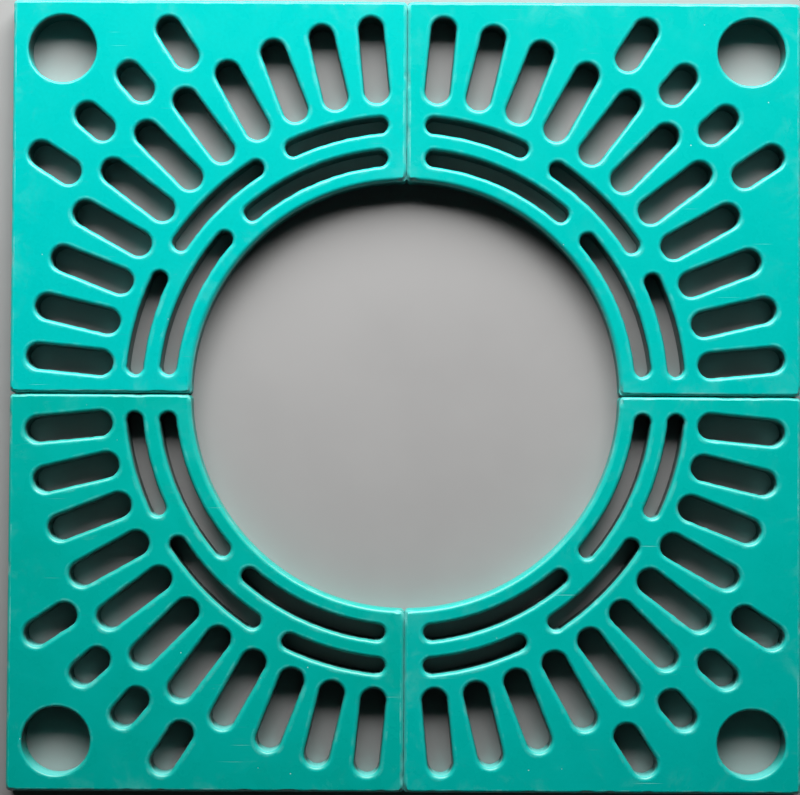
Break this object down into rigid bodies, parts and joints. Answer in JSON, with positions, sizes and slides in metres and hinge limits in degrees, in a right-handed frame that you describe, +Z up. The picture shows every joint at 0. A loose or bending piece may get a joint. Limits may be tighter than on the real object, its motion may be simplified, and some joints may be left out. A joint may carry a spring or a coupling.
{
  "type": "tree grate",
  "caption": "Square composite tree grate of quarter panels that lift out, with a round trunk opening, curved and radial drainage slots and a stake hole near each corner.",
  "frame": {"origin": "on the ground, at the middle of the trunk opening", "axes": "+Z up, +X and +Y out along the seams between the panels"},
  "size_m": [0.8, 0.8, 0.025],
  "materials": {
    "composite": "satin moulded resin composite, coloured through",
    "reinforcing_steel": "bare drawn reinforcing bar, moulded in"
  },
  "bodies": {
    "north_east_quarter": {"north_east_panel": "composite", "north_east_hoop_bars": "reinforcing_steel", "north_east_link_bars": "reinforcing_steel", "north_east_spoke_bars": "reinforcing_steel", "north_east_edge_bar": "reinforcing_steel"},
    "north_west_quarter": {"north_west_panel": "composite", "north_west_hoop_bars": "reinforcing_steel", "north_west_link_bars": "reinforcing_steel", "north_west_spoke_bars": "reinforcing_steel", "north_west_edge_bar": "reinforcing_steel"},
    "south_west_quarter": {"south_west_panel": "composite", "south_west_hoop_bars": "reinforcing_steel", "south_west_link_bars": "reinforcing_steel", "south_west_spoke_bars": "reinforcing_steel", "south_west_edge_bar": "reinforcing_steel"},
    "south_east_quarter": {"south_east_panel": "composite", "south_east_hoop_bars": "reinforcing_steel", "south_east_link_bars": "reinforcing_steel", "south_east_spoke_bars": "reinforcing_steel", "south_east_edge_bar": "reinforcing_steel"}
  },
  "joints": [
    {"name": "north_east_panel_lift", "type": "slide", "parent": "south_west_quarter", "child": "north_east_quarter", "axis": [0, 0, 1], "range_m": [0, 0.1]},
    {"name": "north_west_panel_lift", "type": "slide", "parent": "south_west_quarter", "child": "north_west_quarter", "axis": [0, 0, 1], "range_m": [0, 0.1]},
    {"name": "south_east_panel_lift", "type": "slide", "parent": "south_west_quarter", "child": "south_east_quarter", "axis": [0, 0, 1], "range_m": [0, 0.1]}
  ]
}
